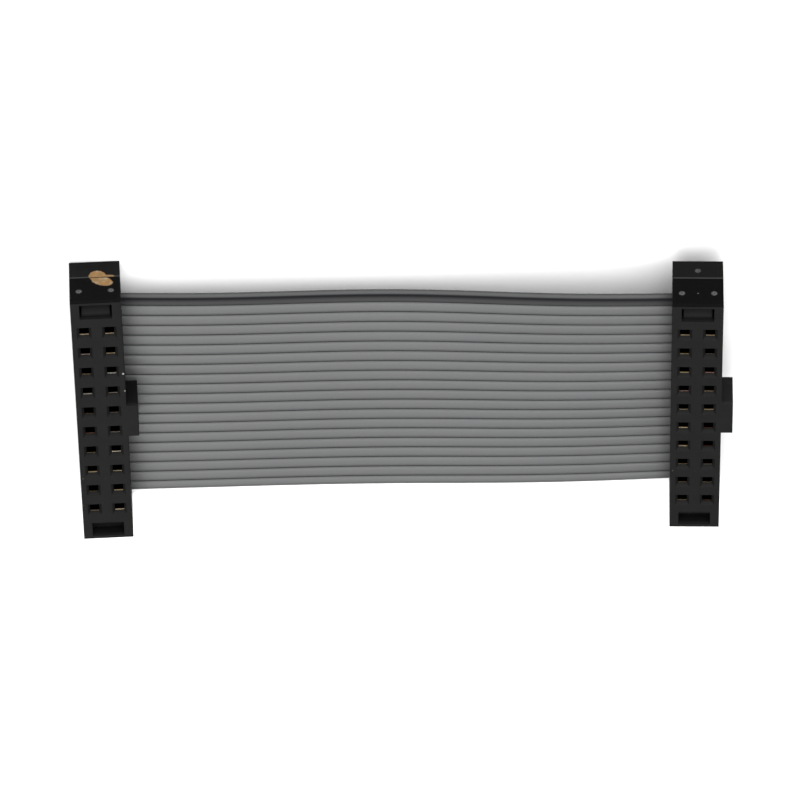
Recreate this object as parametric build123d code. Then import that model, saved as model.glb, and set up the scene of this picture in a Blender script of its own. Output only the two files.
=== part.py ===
"""Short flat ribbon cable with a 20-way insulation-displacement socket on each end.

The cable lies on its two cover blocks with the sockets opening upward. The floor is z = 0,
+X runs along the cable towards the socket whose key points away from the ribbon, +Z is up.
Each socket is modelled in its own frame: the origin is the middle of its mating face, local
z goes up out of the mating face, local y runs along the row of ten holes, and the key stands
on the +x side. All sizes are in millimetres.
"""
import os
from math import cos, pi, radians, sin

from build123d import *

# Grid of the socket
pitch = 2.54
rows = 10
columns = 2

# Outline of one socket
socket_width = 5.08
socket_length = 30.48
body_height = 4.22
cover_height = 2.59
edge_break = 0.08

# Polarising key on the long side
key_reach = 1.16
key_length = 3.9
key_depth = 4.11

# Pin openings and contact cavities
funnel_wide = 1.44
funnel_narrow = 0.95
funnel_depth = 0.45
cavity_span = 1.44
cavity_inner = 0.52
plate_face = 0.70
plate_pocket_top = 2.85

# Latch windows at the ends of the mating face
window_width = 3.25
window_length = 1.75
window_wall = 0.30
leg_width = 2.85
leg_thickness = 0.80
leg_tip_depth = 0.48
leg_gap = 0.02
barb_reach = 0.49
barb_depth = 1.30
ledge_depth = 1.58
ledge_gap = 0.19

# Stamped contact
metal = 0.20
beam_width = 0.90
beam_top = 0.48
beam_throat = 0.52
beam_spread = 0.84
throat_depth = 1.50
beam_root = 2.90
base_bottom = 3.70
tine_span = 1.10
tine_tip = 5.95
tine_point = 0.22
slot_clearance = 0.02

# Ribbon
wires = rows * columns
wire_pitch = pitch / columns
wire_diameter = 0.38
ribbon_thickness = 0.90
ribbon_width = wires * wire_pitch
lobe_half = 0.54
lobe_crown = 0.07
groove_half = 0.25
margin_half = 0.22
ribbon_depth = 4.70
channel_gap = 0.03
end_inset = 0.10
pocket_gap = 0.10

# Resting pose: each socket leans on its inner cover edge, the +X one is also twisted
socket_spacing = 60.14
left_lean = 2.57
right_lean = 2.23
right_twist = 4.47

# Gentle wave of the free ribbon: height and twist departures from a straight run
wave_sag = 0.28
wave_skew = 0.09
wave_ripple = 0.19
twist_lag = 0.20
twist_skew = 0.07
twist_ripple = 0.08
stations = 8

socket_height = body_height + cover_height
column_x = pitch / 2
row_ys = [(row - (rows - 1) / 2) * pitch for row in range(rows)]
wire_ys = [(wire - (wires - 1) / 2) * wire_pitch for wire in range(wires)]
window_near = socket_length / 2 - window_wall - window_length
window_far = socket_length / 2 - window_wall


def block(x0, x1, y0, y1, z0, z1):
    """Axis-aligned box between two corners."""
    return Pos((x0 + x1) / 2, (y0 + y1) / 2, (z0 + z1) / 2) * Box(x1 - x0, y1 - y0, z1 - z0)


def profile_block(points, x0, x1):
    """Outline drawn in the local y-z plane, pulled from x0 to x1."""
    face = Plane.YZ.offset(x0) * Polygon(*points, align=None)
    return extrude(face, amount=x1 - x0, dir=(1, 0, 0))


def seated(lean, twist, x):
    """Placement of a socket whose lowest cover edge or corner touches the floor."""
    a = radians(abs(lean))
    t = radians(twist)
    reach = socket_length / 2 * sin(abs(t)) + socket_height * cos(t)
    lift = socket_width / 2 * sin(a) + reach * cos(a)
    return Pos(x, 0, lift) * Rot(0, lean, 0) * Rot(twist, 0, 0)


left_seat = seated(left_lean, 0, -socket_spacing / 2)
right_seat = seated(-right_lean, right_twist, socket_spacing / 2)


def contact_places():
    """Grid places: column by column, each as (side, x, y, y of its wire)."""
    for side in (-1, 1):
        for y in row_ys:
            yield side, side * column_x, y, y + side * wire_pitch / 2


# ---------------------------------------------------------------- contacts

def make_contact():
    """One tuning-fork contact, centred on its cavity, plate on the +x side."""
    throat = beam_throat / 2
    mouth = beam_spread / 2
    beams = []
    for s in (-1, 1):
        inner = [(s * mouth, -beam_top), (s * throat, -throat_depth), (s * mouth, -beam_root),
                 (s * mouth, -base_bottom)]
        outer = [(y + s * metal, z) for y, z in reversed(inner)]
        beams.append(profile_block(inner + outer, -beam_width / 2, beam_width / 2))
        y0, y1 = sorted((s * mouth, s * (mouth + metal)))
        beams.append(block(beam_width / 2, plate_face, y0, y1, -base_bottom, -beam_root))
    back = plate_face - metal
    wire = wire_pitch / 2
    left = wire - tine_span / 2
    right = wire + tine_span / 2
    half_slot = wire_diameter / 2 + slot_clearance
    plate = block(back, plate_face, -mouth - metal, right, -base_bottom, -beam_root)
    tines = []
    for outer, inner in ((left, wire - half_slot), (right, wire + half_slot)):
        tip = [(outer, -base_bottom), (inner, -base_bottom), (inner, tine_point - tine_tip),
               ((outer + inner) / 2, -tine_tip), (outer, tine_point - tine_tip)]
        tines.append(profile_block(tip, back, plate_face))
    contact = plate
    for piece in beams + tines:
        contact = contact + piece
    return contact


def tine_cuts(grow):
    """Boxes that the contact tines of one socket fill, in the socket frame."""
    half_slot = wire_diameter / 2 + slot_clearance
    cuts = []
    for side, x, y, wire in contact_places():
        x0, x1 = sorted((x + side * (plate_face - metal), x + side * plate_face))
        for s in (-1, 1):
            y0, y1 = sorted((wire + s * half_slot, wire + s * tine_span / 2))
            cuts.append(block(x0 - grow, x1 + grow, y0 - grow, y1 + grow,
                              -tine_tip - grow, -base_bottom))
    return cuts


# ---------------------------------------------------------------- socket body

def pin_cavities():
    """Lead-in funnel, contact cavity and plate pocket of every opening."""
    cuts = []
    taper = (funnel_wide - funnel_narrow) / 2
    for side, x, y, wire in contact_places():
        top = Pos(x, y, 0) * Rectangle(funnel_wide, funnel_wide)
        bottom = Pos(x, y, -funnel_depth) * Rectangle(funnel_narrow, funnel_narrow)
        cuts.append(loft([top, bottom]))
        span = cavity_span / 2
        x0, x1 = sorted((x - side * cavity_inner, x + side * plate_face))
        cuts.append(block(x0, x1, y - span, y + span, -body_height, -funnel_depth))
        p0, p1 = sorted((x + side * (plate_face - metal - 0.08), x + side * plate_face))
        w0, w1 = sorted((y - side * span, wire + side * (tine_span / 2 + 0.05)))
        cuts.append(block(p0, p1, w0, w1, -body_height, -plate_pocket_top))
    return cuts


def make_body():
    """Contact housing with key, pin openings and the two latch windows."""
    w = socket_width / 2
    half = socket_length / 2
    body = block(-w, w, -half, half, -body_height, 0)
    body = chamfer(body.faces().sort_by(Axis.Z)[0].edges(), edge_break)
    body = body + block(w, w + key_reach, -key_length / 2, key_length / 2, -key_depth, 0)
    cuts = pin_cavities()
    ledges = []
    for s in (-1, 1):
        y0, y1 = sorted((s * window_near, s * window_far))
        cuts.append(block(-window_width / 2, window_width / 2, y0, y1, -body_height, 0))
        ledge_near = window_near + leg_gap + leg_thickness + ledge_gap
        y0, y1 = sorted((s * ledge_near, s * (window_far + window_wall / 2)))
        x = window_width / 2 + 0.1
        ledges.append(block(-x, x, y0, y1, edge_break - body_height, -ledge_depth))
    body = body - cuts
    return body + ledges


# ---------------------------------------------------------------- cover

def make_leg(s):
    """Latch leg that rises through a body window and hooks over its ledge."""
    near = window_near + leg_gap
    far = near + leg_thickness
    half = leg_thickness / 2
    points = [(near, -body_height - 0.5), (near, -leg_tip_depth), (near + half, -leg_tip_depth),
              (far + barb_reach, -barb_depth), (far + barb_reach, -ledge_depth),
              (far, -ledge_depth), (far, -body_height - 0.5)]
    outline = [(s * y, z) for y, z in points]
    return profile_block(outline, -leg_width / 2, leg_width / 2)


def make_cover():
    """Clamp cover with grooves for the ribbon, tine pockets and two latch legs."""
    w = socket_width / 2
    half = socket_length / 2
    cover = block(-w, w, -half, half, -socket_height, -body_height)
    cover = chamfer(cover.faces().sort_by(Axis.Z)[-1].edges(), edge_break)
    plane = Plane((-w - 1, 0, -ribbon_depth), x_dir=(0, 1, 0), z_dir=(1, 0, 0))
    grooves = extrude(plane * ribbon_outline(channel_gap), amount=socket_width + 2)
    side = ribbon_width / 2 + channel_gap
    mouth = block(-w - 1, w + 1, -side, side, -ribbon_depth, 1 - body_height)
    cover = cover - [grooves, mouth] - tine_cuts(pocket_gap)
    return cover + [make_leg(-1), make_leg(1)]


# ---------------------------------------------------------------- ribbon

def ribbon_outline(grow=0.0):
    """Cross-section: one shallow lobe per wire, a narrow groove between lobes."""
    crown = ribbon_thickness / 2 + grow
    shoulder = crown - lobe_crown
    groove = groove_half + grow
    rim = margin_half + grow
    side = ribbon_width / 2 + grow
    edges = []
    for s in (1, -1):
        points = [(-s * side, 0)]
        ordered = wire_ys if s > 0 else list(reversed(wire_ys))
        start = (-s * side, s * rim)
        edges.append(Line((-s * side, 0), start))
        for index, y in enumerate(ordered):
            a = (y - s * lobe_half, s * shoulder)
            b = (y + s * lobe_half, s * shoulder)
            edges.append(Line(start, a))
            edges.append(ThreePointArc(a, (y, s * crown), b))
            last = index == wires - 1
            start = (s * side, s * rim) if last else (y + s * wire_pitch / 2, s * groove)
            edges.append(Line(b, start))
        edges.append(Line(start, (s * side, 0)))
    return make_face(Wire(edges))


def seat_plane(seat, x):
    """Cross-section plane of the clamped ribbon at local x of a seated socket."""
    place = seat * Pos(x, 0, -ribbon_depth)
    plane = Plane(place)
    return Plane(plane.origin, x_dir=plane.y_dir, z_dir=plane.x_dir)


def free_planes():
    """Cross-section planes along the free ribbon, from one socket to the other."""
    first = seat_plane(left_seat, socket_width / 2)
    last = seat_plane(right_seat, -socket_width / 2)
    start = first.origin
    end = last.origin
    twist = radians(right_twist)

    def wave(u, sag, skew, ripple):
        return skew * sin(2 * pi * u) + ripple * sin(3 * pi * u) - sag * sin(pi * u)

    def turn(u):
        return u + wave(u, twist_lag, twist_skew, twist_ripple)

    def centre(u):
        rise = wave(u, wave_sag, -wave_skew, wave_ripple)
        return Vector(start.X + (end.X - start.X) * u, start.Y + (end.Y - start.Y) * turn(u),
                      start.Z + (end.Z - start.Z) * u + rise)

    planes = [first]
    for step in range(1, stations):
        u = step / stations
        along = (centre(u + 0.01) - centre(u - 0.01)).normalized()
        across = Vector(0, cos(twist * turn(u)), sin(twist * turn(u)))
        across = (across - along * across.dot(along)).normalized()
        planes.append(Plane(centre(u), x_dir=across, z_dir=along))
    planes.append(last)
    return planes


def along_ribbon(section):
    """Solid with one cross-section run through both sockets and the free ribbon."""
    clamped = socket_width - end_inset
    left_end = seat_plane(left_seat, end_inset - socket_width / 2)
    right_end = seat_plane(right_seat, -socket_width / 2)
    free = loft([plane * section for plane in free_planes()])
    left = extrude(left_end * section, amount=clamped)
    right = extrude(right_end * section, amount=clamped)
    return [left, free, right]


def wire_solid(y):
    """One round conductor over the full length of the ribbon."""
    left, free, right = along_ribbon(Pos(y, 0) * Circle(wire_diameter / 2))
    return left + free + right


def make_insulation(conductors):
    """Ribbed insulation, bored for the wires and pierced by the contact tines."""
    left, free, right = along_ribbon(ribbon_outline())
    slots_left = [left_seat * cut for cut in tine_cuts(0)]
    slots_right = [right_seat * cut for cut in tine_cuts(0)]
    left = left - slots_left
    right = right - slots_right
    ribbon = left + free + right
    return ribbon - conductors


# ---------------------------------------------------------------- assembly

def one_solid(shape):
    """The single solid of a finished piece."""
    found = shape.solids()
    return found[0] if len(found) == 1 else Compound(found)


def all_pieces():
    """Every piece in its place, by node name; like small pieces share one node."""
    pieces = {}
    body = one_solid(make_body())
    cover = one_solid(make_cover())
    contact = one_solid(make_contact())
    for hand, seat in (("left", left_seat), ("right", right_seat)):
        pieces["socket_body_" + hand] = seat * body
        pieces["cover_" + hand] = seat * cover
        for number, (side, x, y, wire) in enumerate(contact_places(), start=1):
            turn = Rot(0, 0, 0 if side > 0 else 180)
            pieces[f"contact_{hand}_{number:02d}"] = seat * Pos(x, y, 0) * turn * contact
    conductors = [one_solid(wire_solid(y)) for y in wire_ys]
    for pair in range(rows):
        two = conductors[columns * pair:columns * (pair + 1)]
        pieces[f"conductor_pair_{pair + 1:02d}"] = Compound(two)
    pieces["ribbon_insulation"] = one_solid(make_insulation(conductors))
    return pieces


def main():
    os.makedirs("parts", exist_ok=True)
    pieces = all_pieces()
    # The row's origin is the middle of the overall footprint, on the floor.
    outer = [shape for name, shape in pieces.items() if "body" in name or "cover" in name]
    box = Compound(outer).bounding_box()
    shift = Pos(-(box.min.X + box.max.X) / 2, -(box.min.Y + box.max.Y) / 2, -box.min.Z)
    print("shift", shift.position)
    for name, shape in pieces.items():
        export_step(shift * shape, os.path.join("parts", name + ".step"))


main()
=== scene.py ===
from math import atan2, cos, degrees, pi, radians, sin

import bpy
from mathutils import Matrix, Vector


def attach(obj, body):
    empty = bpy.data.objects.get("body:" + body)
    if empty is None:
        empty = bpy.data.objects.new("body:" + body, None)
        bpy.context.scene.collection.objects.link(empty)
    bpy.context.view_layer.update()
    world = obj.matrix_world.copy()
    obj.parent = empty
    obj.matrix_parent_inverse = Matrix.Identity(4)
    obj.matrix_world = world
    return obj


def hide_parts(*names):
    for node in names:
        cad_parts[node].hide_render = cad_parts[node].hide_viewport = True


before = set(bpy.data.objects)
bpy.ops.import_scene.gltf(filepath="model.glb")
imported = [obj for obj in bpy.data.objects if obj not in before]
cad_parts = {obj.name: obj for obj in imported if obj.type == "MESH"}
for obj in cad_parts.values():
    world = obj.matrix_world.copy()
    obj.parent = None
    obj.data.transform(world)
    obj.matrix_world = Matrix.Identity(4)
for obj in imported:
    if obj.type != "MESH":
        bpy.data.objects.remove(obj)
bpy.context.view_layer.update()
MM = 0.001

# ---------------------------------------------------------------- sizes, as in the CAD part
SHIFT = Vector((-0.509872, -0.242198, 0.0))
SOCKET_W, SOCKET_L, SOCKET_H = 5.08, 30.48, 6.81
BODY_H = 4.22
SPACING = 60.14
LEFT_LEAN, RIGHT_LEAN, RIGHT_TWIST = 2.57, 2.23, 4.47
RIBBON_DEPTH = 4.70
WIRES, WIRE_PITCH = 20, 1.27
RIBBON_W = WIRES * WIRE_PITCH
END_INSET = 0.12
FREE_STEPS = 110
RIBBON_HALF_H = 0.45
RIM_STEPS = 16
CLAMP_STEP = 0.3
HEIGHT_WAVE = (0.28, -0.09, 0.19)      # sag, skew, ripple
TWIST_LAG = (0.20, 0.07, 0.08)
# painted shade on the ribbon next to each socket: darkness, and reach in millimetres
SOCKET_SHADE, SOCKET_SHADE_REACH = 0.32, 1.6
FLOOR_HALF = 4.0                       # metres
CAMERA_LENS = 279.24
CAMERA_PLACE = Vector((2.23, 392.69, 497.87))


def seat(lean, twist, x):
    """Socket frame in the row frame, millimetres."""
    a, t = radians(abs(lean)), radians(twist)
    lift = SOCKET_W / 2 * sin(a) + (SOCKET_L / 2 * sin(abs(t)) + SOCKET_H * cos(t)) * cos(a)
    turn = Matrix.Rotation(radians(lean), 4, "Y") @ Matrix.Rotation(t, 4, "X")
    return Matrix.Translation(Vector((x, 0, lift)) + SHIFT) @ turn


SEATS = {"left": seat(LEFT_LEAN, 0, -SPACING / 2),
         "right": seat(-RIGHT_LEAN, RIGHT_TWIST, SPACING / 2)}


# ---------------------------------------------------------------- camera
def make_camera():
    cam = bpy.data.cameras.new("camera")
    cam.sensor_width = 36.0
    cam.lens = CAMERA_LENS
    cam.clip_start = 0.05
    cam.clip_end = 10.0
    obj = bpy.data.objects.new("camera", cam)
    bpy.context.scene.collection.objects.link(obj)
    right = Vector((0.9998, -0.0162, 0.0087))
    up = Vector((0.0181, 0.7824, -0.6225))
    forward = Vector((-0.0033, -0.6225, -0.7826)).normalized()
    right = (right - forward * right.dot(forward)).normalized()
    up = right.cross(forward)
    place = (CAMERA_PLACE + SHIFT) * MM
    m = Matrix((right, up, -forward)).transposed().to_4x4()
    m.translation = place
    obj.matrix_world = m
    bpy.context.scene.camera = obj


make_camera()


# ---------------------------------------------------------------- node helpers
class Graph:
    """Builds one material's shader graph, a call per node."""

    def __init__(self, name):
        self.material = bpy.data.materials.new(name)
        self.material.use_nodes = True
        self.tree = self.material.node_tree
        self.tree.nodes.clear()
        self.out = self.tree.nodes.new("ShaderNodeOutputMaterial")

    def node(self, kind, **values):
        n = self.tree.nodes.new(kind)
        for key, value in values.items():
            setattr(n, key, value)
        return n

    def put(self, socket, value):
        if isinstance(value, bpy.types.NodeSocket):
            self.tree.links.new(value, socket)
        else:
            socket.default_value = value

    def math(self, op, a, b=0.0, c=0.0, clamp=False):
        n = self.node("ShaderNodeMath", operation=op, use_clamp=clamp)
        for socket, value in zip(n.inputs, (a, b, c)):
            self.put(socket, value)
        return n.outputs[0]

    def vmath(self, op, a, b=(0, 0, 0)):
        n = self.node("ShaderNodeVectorMath", operation=op)
        self.put(n.inputs[0], a)
        self.put(n.inputs[1], b)
        return n.outputs["Value"] if op in ("LENGTH", "DISTANCE", "DOT_PRODUCT") else n.outputs[0]

    def mix(self, factor, a, b, blend="MIX"):
        n = self.node("ShaderNodeMix", data_type="RGBA", blend_type=blend)
        self.put(n.inputs[0], factor)
        self.put(n.inputs[6], a)
        self.put(n.inputs[7], b)
        return n.outputs[2]

    def ramp(self, value, low, high, a=0.0, b=1.0):
        n = self.node("ShaderNodeMapRange", interpolation_type="SMOOTHSTEP")
        for socket, v in zip(n.inputs, (value, low, high, a, b)):
            self.put(socket, v)
        return n.outputs[0]

    def noise(self, vector, scale, detail=3.0, rough=0.55, dims="3D"):
        n = self.node("ShaderNodeTexNoise", noise_dimensions=dims)
        self.put(n.inputs["Vector"], vector)
        n.inputs["Scale"].default_value = scale
        n.inputs["Detail"].default_value = detail
        n.inputs["Roughness"].default_value = rough
        return n.outputs[0]

    def local(self, matrix=None):
        """Object position in millimetres, in a socket's frame if one is given."""
        coord = self.node("ShaderNodeTexCoord").outputs["Object"]
        n = self.node("ShaderNodeMapping", vector_type="TEXTURE")
        self.put(n.inputs[0], coord)
        if matrix is not None:
            n.inputs["Location"].default_value = matrix.translation * MM
            n.inputs["Rotation"].default_value = matrix.to_euler("XYZ")
        n.inputs["Scale"].default_value = (MM, MM, MM)
        return n.outputs[0]

    def split(self, vector):
        n = self.node("ShaderNodeSeparateXYZ")
        self.put(n.inputs[0], vector)
        return n.outputs

    def join(self, x, y, z=0.0):
        n = self.node("ShaderNodeCombineXYZ")
        for socket, v in zip(n.inputs, (x, y, z)):
            self.put(socket, v)
        return n.outputs[0]

    def bump(self, height, strength, distance, normal=None):
        n = self.node("ShaderNodeBump")
        n.inputs["Strength"].default_value = strength
        n.inputs["Distance"].default_value = distance
        self.put(n.inputs["Height"], height)
        if normal is not None:
            self.put(n.inputs["Normal"], normal)
        return n.outputs[0]

    def surface(self, color, rough, metal=0.0, normal=None, specular=0.5):
        n = self.node("ShaderNodeBsdfPrincipled")
        self.put(n.inputs["Base Color"], color)
        self.put(n.inputs["Roughness"], rough)
        self.put(n.inputs["Metallic"], metal)
        self.put(n.inputs["Specular IOR Level"], specular)
        if normal is not None:
            self.put(n.inputs["Normal"], normal)
        self.put(self.out.inputs["Surface"], n.outputs[0])
        return self.material


def grey(v, warm=0.0):
    return (v * (1 + warm), v, v * (1 - warm), 1.0)


# ---------------------------------------------------------------- moulded plastic
def disc(g, plane, x, z, radius, soft=0.05):
    d = g.vmath("DISTANCE", plane, (x, z, 0.0))
    return g.ramp(d, radius - soft, radius + soft, 1.0, 0.0)


def blob(g, u, v, x, z, rx, rz, tilt, edge):
    """Soft-edged ellipse in end-face coordinates, roughened by an edge offset."""
    c, s = cos(radians(tilt)), sin(radians(tilt))
    dx = g.math("SUBTRACT", u, x)
    dz = g.math("SUBTRACT", v, z)
    a = g.math("ADD", g.math("MULTIPLY", dx, c / rx), g.math("MULTIPLY", dz, s / rx))
    b = g.math("ADD", g.math("MULTIPLY", dx, -s / rz), g.math("MULTIPLY", dz, c / rz))
    d = g.math("SQRT", g.math("ADD", g.math("MULTIPLY", a, a), g.math("MULTIPLY", b, b)))
    d = g.math("ADD", d, edge)
    return g.ramp(d, 0.9, 1.06, 1.0, 0.0)


def plastic(name, hand, base, cover=False):
    g = Graph(name)
    p = g.local(SEATS[hand])
    x, y, z = g.split(p)
    fine = g.noise(p, 9.0, 4.0, 0.6)
    broad = g.noise(p, 0.55, 2.0, 0.5)
    shade = g.math("MULTIPLY_ADD", broad, 0.5, 0.75)
    shade = g.math("MULTIPLY", shade, g.math("MULTIPLY_ADD", fine, 0.24, 0.88))
    color = g.mix(1.0, grey(base, 0.01), g.join(shade, shade, shade), "MULTIPLY")
    rough = g.math("MULTIPLY_ADD", fine, 0.16, 0.46)

    # drag lines left by the mould on the upright walls
    drag = g.noise(g.vmath("MULTIPLY", p, (1.6, 1.6, 0.12)), 5.0, 3.0, 0.6)
    rough = g.math("ADD", rough, g.math("MULTIPLY_ADD", drag, 0.12, -0.06))

    # painted highlight: the edges are painted paler, in patches
    bevel = g.node("ShaderNodeBevel", samples=4)
    bevel.inputs["Radius"].default_value = 0.07 * MM
    geometry = g.node("ShaderNodeNewGeometry")
    turn = g.vmath("DOT_PRODUCT", bevel.outputs[0], geometry.outputs["Normal"])
    edge_highlight = g.ramp(turn, 0.995, 0.93, 0.0, 1.0)
    edge_highlight = g.math("MULTIPLY", edge_highlight, g.ramp(g.noise(p, 1.3, 3.0, 0.7), 0.4, 0.7, 0.25, 1.0))
    color = g.mix(g.math("MULTIPLY", edge_highlight, 0.55), color, grey(base * 3.2))

    # painted highlight: the moulded lead-ins are painted lighter than the face
    funnel_highlight = g.math("MULTIPLY", g.ramp(z, -0.03, -0.01, 1.0, 0.0), g.ramp(z, -0.47, -0.44))
    color = g.mix(g.math("MULTIPLY", funnel_highlight, 0.0 if cover else 0.8), color, grey(base * 2.1))

    near_end = g.ramp(y, SOCKET_L / 2 - 0.05, SOCKET_L / 2 - 0.02, 0.0, 1.0)
    # painted shade: the end faces are painted darker than the rest of the plastic
    color = g.mix(g.math("MULTIPLY", near_end, 0.6 if cover else 0.85), color, grey(base * 0.2))
    end = g.join(x, z)
    if cover:
        marks = [(0.0, -BODY_H - 1.16, 0.30, 0.0 if hand == "left" else 0.4)]
    else:
        marks = [(-1.6, -2.0, 0.30, 0.6), (1.6, -2.0, 0.30, 0.6)]
        if hand == "right":
            marks.append((0.0, -2.0, 0.06, 1.0))
    for mx, mz, radius, strength in marks:
        mark = g.math("MULTIPLY", disc(g, end, mx, mz, radius), near_end)
        grain = g.ramp(g.noise(p, 4.0, 2.0, 0.8), 0.35, 0.65, 0.45, 1.0)
        mark = g.math("MULTIPLY", g.math("MULTIPLY", mark, grain), strength)
        color = g.mix(mark, color, grey(0.14))
        rough = g.math("ADD", rough, g.math("MULTIPLY", mark, 0.25))

    # two dust grains on the long edge of the left mating face
    if hand == "left" and not cover:
        face = g.join(x, y)
        upper = g.ramp(z, -0.06, -0.02)
        for dx, dy, radius in ((2.40, 6.1, 0.10), (2.50, 3.9, 0.07)):
            grain = g.math("MULTIPLY", disc(g, face, dx, dy, radius, 0.04), upper)
            color = g.mix(grain, color, grey(0.28, 0.03))

    # painted highlight: a pale band on the cover's end face next to the body
    if cover:
        rim = g.math("MULTIPLY", g.ramp(z, -BODY_H - 0.16, -BODY_H - 0.12), near_end)
        color = g.mix(g.math("MULTIPLY", rim, 0.7), color, grey(0.05))

    # sparse dust
    voronoi = g.node("ShaderNodeTexVoronoi")
    g.put(voronoi.inputs["Vector"], p)
    voronoi.inputs["Scale"].default_value = 0.9
    cell = g.math("GREATER_THAN", g.split(voronoi.outputs["Color"])[0], 0.93)
    speck = g.math("MULTIPLY", g.ramp(voronoi.outputs["Distance"], 0.02, 0.06, 1.0, 0.0), cell)
    color = g.mix(g.math("MULTIPLY", speck, 0.5), color, grey(0.25, 0.02))

    height = g.noise(p, 14.0, 3.0, 0.6)
    normal = g.bump(height, 0.25, 0.01 * MM, bevel.outputs[0])

    if hand == "left":
        u, v = x, g.math("ADD", z, BODY_H)
        wob = g.math("MULTIPLY_ADD", g.noise(p, 1.7, 4.0, 0.6), 0.5, -0.25)
        pieces = [blob(g, u, v, 0.30, -0.25, 0.85, 0.85, 0, wob),
                  blob(g, u, v, 0.75, 0.62, 1.15, 0.72, 28, wob),
                  blob(g, u, v, 1.30, -0.16, 0.75, 0.20, 4, wob)]
        stain = pieces[0]
        for piece in pieces[1:]:
            stain = g.math("MAXIMUM", stain, piece)
        line = g.ramp(g.math("ABSOLUTE", v), 0.03, 0.10, 0.35, 1.0)
        stain = g.math("MULTIPLY", g.math("MULTIPLY", stain, near_end), line)
        glue = g.mix(g.ramp(g.noise(p, 2.3, 4.0, 0.6), 0.35, 0.65), (0.17, 0.12, 0.055, 1),
                     (0.26, 0.135, 0.055, 1))
        glue = g.mix(g.ramp(g.noise(p, 1.1, 3.0, 0.5), 0.52, 0.75), glue, (0.27, 0.22, 0.15, 1))
        color = g.mix(g.math("MULTIPLY", stain, 0.92), color, glue)
        rough = g.math("ADD", rough, g.math("MULTIPLY", stain, 0.15))
    gloss = g.math("MULTIPLY_ADD", near_end, -0.03 if cover else -0.055, 0.07)
    return g.surface(color, rough, 0.0, normal, gloss)


# ---------------------------------------------------------------- ribbon vinyl
def vinyl():
    g = Graph("ribbon_vinyl")
    p = g.local()
    streak = g.noise(g.vmath("MULTIPLY", p, (0.03, 1.0, 1.0)), 2.2, 4.0, 0.65)
    broad = g.noise(p, 0.10, 2.0, 0.5)
    fine = g.noise(p, 11.0, 3.0, 0.6)
    shade = g.math("MULTIPLY_ADD", streak, 0.16, 0.92)
    shade = g.math("MULTIPLY", shade, g.math("MULTIPLY_ADD", broad, 0.10, 0.95))
    shade = g.math("MULTIPLY", shade, g.math("MULTIPLY_ADD", fine, 0.06, 0.97))
    color = g.mix(1.0, (0.070, 0.0712, 0.0722, 1), g.join(shade, shade, shade), "MULTIPLY")
    # painted shade: where the lobes are low, in the grooves between the wires, the vinyl is
    # painted darker
    crown = g.node("ShaderNodeAttribute", attribute_name="crown").outputs["Fac"]
    color = g.mix(g.ramp(crown, 0.25, 0.425, 0.85, 0.0), color, (0.022, 0.022, 0.023, 1))
    # painted shade from the shade attribute: round the outermost wire and close to each socket
    shade = g.node("ShaderNodeAttribute", attribute_name="shade").outputs["Fac"]
    color = g.mix(shade, color, (0.004, 0.004, 0.005, 1))
    rough = g.math("MULTIPLY_ADD", streak, 0.14, 0.36)
    height = g.math("ADD", g.math("MULTIPLY", streak, 0.7), g.math("MULTIPLY", fine, 0.3))
    normal = g.bump(height, 0.25, 0.02 * MM)
    gloss = g.math("MULTIPLY_ADD", shade, -0.40, 0.40, clamp=True)
    return g.surface(color, rough, 0.0, normal, gloss)


# ---------------------------------------------------------------- metal
def plated(name, hand, seed):
    """Gold contacts, painted dark brown below the beam tips as shade deep in the holes; each
    contact has its own tint.
    """
    g = Graph(name)
    p = g.local(SEATS[hand])
    depth = g.split(p)[2]
    tint = g.node("ShaderNodeObjectInfo").outputs["Random"]
    blot = g.noise(p, 1.5 + 0.1 * seed, 3.0, 0.6)
    gold = g.mix(g.ramp(blot, 0.35, 0.7), (0.95, 0.76, 0.42, 1), (0.90, 0.70, 0.52, 1))
    gold = g.mix(g.ramp(tint, 0.50, 0.80), gold, (0.72, 0.69, 0.62, 1))
    gold = g.mix(g.ramp(tint, 0.85, 0.95), gold, (0.66, 0.30, 0.24, 1))
    brushed = g.noise(g.vmath("MULTIPLY", p, (8.0, 8.0, 0.8)), 6.0, 3.0, 0.6)
    edge = g.math("MULTIPLY_ADD", blot, 0.03, -0.565)
    # painted shade: below this depth the metal is painted dark brown, and the share of gold each
    # tip keeps varies per contact
    unshaded_tip = g.ramp(depth, g.math("SUBTRACT", edge, 0.05), edge, 0.0, 1.0)
    spread = g.math("FRACT", g.math("MULTIPLY", tint, 7.31))
    unshaded_tip = g.math("MULTIPLY", unshaded_tip, g.math("MULTIPLY_ADD", spread, 0.62, 0.12))
    gold = g.mix(unshaded_tip, (0.060, 0.036, 0.016, 1), gold)
    rough = g.math("MULTIPLY_ADD", brushed, 0.16, g.math("MULTIPLY_ADD", unshaded_tip, 0.30, 0.14))
    normal = g.bump(brushed, 0.2, 0.006 * MM)
    return g.surface(gold, rough, 1.0, normal)


def wire_metal():
    g = Graph("wire_metal")
    p = g.local()
    blot = g.noise(p, 5.0, 3.0, 0.6)
    color = g.mix(g.ramp(blot, 0.3, 0.7), (0.70, 0.42, 0.28, 1), (0.74, 0.66, 0.58, 1))
    normal = g.bump(g.noise(p, 16.0, 2.0, 0.6), 0.4, 0.02 * MM)
    return g.surface(color, g.math("MULTIPLY_ADD", blot, 0.3, 0.25), 1.0, normal)


def dress(obj, material):
    if not obj.material_slots:
        obj.data.materials.append(material)
    for s in obj.material_slots:
        s.material = material


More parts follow.
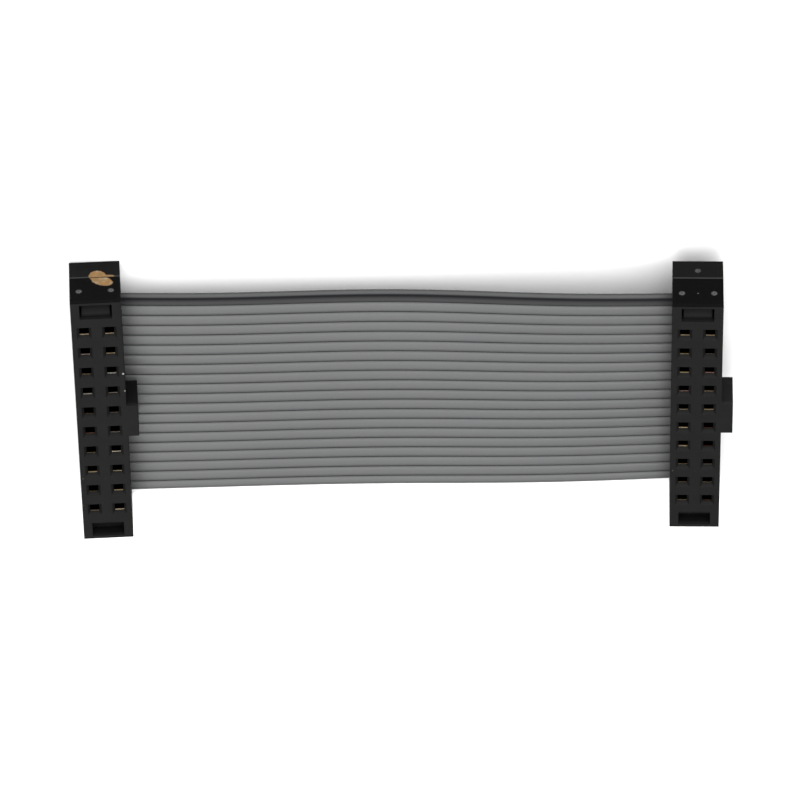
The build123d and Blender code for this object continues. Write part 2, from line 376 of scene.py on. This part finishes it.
LOOKS = {}
for hand in ("left", "right"):
    LOOKS["socket_body_" + hand] = plastic("body_plastic_" + hand, hand, 0.0062)
    LOOKS["cover_" + hand] = plastic("cover_plastic_" + hand, hand, 0.0060, cover=True)
CONTACT_LOOKS = {h: plated("contact_plating_" + h, h, i) for i, h in enumerate(SEATS)}
WIRE_LOOK = wire_metal()
VINYL_LOOK = vinyl()
for name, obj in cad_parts.items():
    if name in LOOKS:
        dress(obj, LOOKS[name])
    elif name.startswith("contact"):
        dress(obj, CONTACT_LOOKS[name.split("_")[1]])
    elif name.startswith("conductor"):
        dress(obj, WIRE_LOOK)
    else:
        dress(obj, VINYL_LOOK)


# ---------------------------------------------------------------- ribbon mesh
def wave(u, sag, skew, ripple):
    return skew * sin(2 * pi * u) + ripple * sin(3 * pi * u) - sag * sin(pi * u)


def turn(u):
    return u + wave(u, *TWIST_LAG)


def ribbon_stations():
    """Origin, across and up of each cross-section, from end to end."""
    stations = []
    left, right = SEATS["left"], SEATS["right"]

    def clamped(m, x):
        o = m @ Vector((x, 0, -RIBBON_DEPTH))
        r = m.to_3x3()
        stations.append((o, r @ Vector((0, 1, 0)), r @ Vector((0, 0, 1))))

    half = SOCKET_W / 2
    clamped(left, END_INSET - half)
    clamped(left, half - CLAMP_STEP)
    start = left @ Vector((half, 0, -RIBBON_DEPTH))
    end = right @ Vector((-half, 0, -RIBBON_DEPTH))

    def centre(u):
        return Vector((start.x + (end.x - start.x) * u, start.y + (end.y - start.y) * turn(u),
                       start.z + (end.z - start.z) * u + wave(u, *HEIGHT_WAVE)))

    for i in range(FREE_STEPS + 1):
        u = i / FREE_STEPS
        a, b = max(u - 0.01, 0), min(u + 0.01, 1)
        along = (centre(b) - centre(a)).normalized()
        t = radians(RIGHT_TWIST) * turn(u)
        across = Vector((0, cos(t), sin(t)))
        across = (across - along * across.dot(along)).normalized()
        stations.append((centre(u), across, along.cross(across)))
    clamped(right, CLAMP_STEP - half)
    clamped(right, half - END_INSET)
    return stations


def ribbon_profile():
    """Closed outline: flat-crowned lobes, narrow grooves, blunt edges."""
    half_pitch = WIRE_PITCH / 2
    steps = (-1.0, -0.965, -0.91, -0.82, -0.6, -0.3, 0.0, 0.3, 0.6, 0.82, 0.91, 0.965)
    top = []
    for wire in range(WIRES):
        y = (wire - (WIRES - 1) / 2) * WIRE_PITCH
        for t in steps:
            h = 0.21 + 0.24 * (1 - abs(t) ** 8) ** 0.6 - 0.035 * t * t
            outer = (wire == 0 and t < 0) or (wire == WIRES - 1 and t > 0)
            if not outer:
                top.append((y + t * half_pitch, h))
    rim = []
    for k in range(1, RIM_STEPS):
        a = pi / 2 - pi * k / RIM_STEPS
        rim.append((RIBBON_W / 2 - half_pitch * (1 - cos(a)), RIBBON_HALF_H * sin(a)))
    loop = top + rim
    loop += [(-y, -h) for y, h in top] + [(-y, -h) for y, h in rim]
    return loop


# painted shade by angle round the outermost wire: (degrees, darkness from 0 to 1)
RIM_SHADE = ((90, 0.75), (78, 0.88), (66, 0.96), (56, 0.88), (45, 0.42), (20, 0.30), (8, 0.36),
             (0, 0.62), (-30, 0.66), (-90, 0.60))


def rim_shade(y, h):
    """Painted shade, darkest in a stripe, and a painted lighter strip round the outermost wire on
    the +Y side, set by position round the rim.
    """
    inner = RIBBON_W / 2 - WIRE_PITCH / 2
    groove = inner - WIRE_PITCH / 2
    if y <= groove + 0.02:
        return 0.0
    if y <= inner:
        return 0.35 + 0.40 * (y - groove) / (WIRE_PITCH / 2)
    angle = degrees(atan2(h / RIBBON_HALF_H, (y - inner) / (WIRE_PITCH / 2)))
    for (a1, v1), (a2, v2) in zip(RIM_SHADE, RIM_SHADE[1:]):
        if a2 <= angle <= a1:
            return v1 + (v2 - v1) * (a1 - angle) / (a1 - a2)
    return RIM_SHADE[0][1]


def ribbon_places():
    """Distance of each cross-section from the nearer socket, millimetres."""
    count = FREE_STEPS
    free = [min(i, count - i) * (SPACING - SOCKET_W) / count for i in range(count + 1)]
    return [0.0, 0.0] + free + [0.0, 0.0]


def make_ribbon():
    loop = ribbon_profile()
    stations = ribbon_stations()
    verts = []
    for origin, across, up in stations:
        for y, h in loop:
            verts.append((origin + across * y + up * h) * MM)
    n = len(loop)
    faces = []
    for i in range(len(stations) - 1):
        for j in range(n):
            k = (j + 1) % n
            faces.append((i * n + j, (i + 1) * n + j, (i + 1) * n + k, i * n + k))
    faces.append(tuple(range(n)))
    last = (len(stations) - 1) * n
    faces.append(tuple(last + j for j in reversed(range(n))))
    mesh = bpy.data.meshes.new("ribbon")
    mesh.from_pydata(verts, [], faces)
    mesh.update()
    # lobe height, used for the painted shade in the grooves
    crown = mesh.attributes.new("crown", "FLOAT", "POINT")
    inner = RIBBON_W / 2 - WIRE_PITCH / 2
    lobes = [abs(h) if abs(y) < inner else RIBBON_HALF_H for y, h in loop]
    crown.data.foreach_set("value", lobes * len(stations))
    # painted shade: round the outermost wire, and on the ribbon close to each socket
    shade = mesh.attributes.new("shade", "FLOAT", "POINT")
    edge_shade = [rim_shade(y, h) for y, h in loop]
    values = []
    for place in ribbon_places():
        # painted shade, stronger close to each socket
        soft = SOCKET_SHADE * max(0.0, 1 - place / SOCKET_SHADE_REACH) ** 1.5
        values += [1 - (1 - soft) * (1 - e) for e in edge_shade]
    shade.data.foreach_set("value", values)
    for polygon in mesh.polygons:
        polygon.use_smooth = len(polygon.vertices) == 4
    obj = bpy.data.objects.new("ribbon", mesh)
    bpy.context.scene.collection.objects.link(obj)
    dress(obj, VINYL_LOOK)
    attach(obj, "root")
    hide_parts("ribbon_insulation")


make_ribbon()


# ---------------------------------------------------------------- floor and light
def make_floor():
    mesh = bpy.data.meshes.new("floor")
    s = FLOOR_HALF
    mesh.from_pydata([(-s, -s, 0), (s, -s, 0), (s, s, 0), (-s, s, 0)], [], [(0, 1, 2, 3)])
    obj = bpy.data.objects.new("floor", mesh)
    bpy.context.scene.collection.objects.link(obj)
    g = Graph("floor_paper")
    p = g.local()
    tone = g.math("MULTIPLY_ADD", g.noise(p, 0.4, 2.0, 0.5), 0.01, 0.895)
    dress(obj, g.surface(g.join(tone, tone, tone), 0.8, 0.0, None, 0.1))


def area(name, place, target, size, power):
    light = bpy.data.lights.new(name, "AREA")
    light.shape = "DISK"
    light.size = size
    light.energy = power
    obj = bpy.data.objects.new(name, light)
    bpy.context.scene.collection.objects.link(obj)
    obj.location = place
    aim = Vector(target) - Vector(place)
    obj.rotation_euler = aim.to_track_quat("-Z", "Y").to_euler()


make_floor()
area("key_light", (-0.20, -0.60, 1.10), (0, 0, 0), 1.2, 12.5)
area("top_light", (0.1, 0.48, 1.28), (0, 0, 0), 2.3, 38.0)
area("fill_light", (0.05, 1.15, 0.45), (0, 0, 0), 1.0, 8.0)

world = bpy.data.worlds.new("studio")
bpy.context.scene.world = world
world.use_nodes = True
world.node_tree.nodes["Background"].inputs[0].default_value = (1.0, 1.0, 1.0, 1.0)
world.node_tree.nodes["Background"].inputs[1].default_value = 0.10
bpy.context.scene.view_settings.view_transform = "Standard"
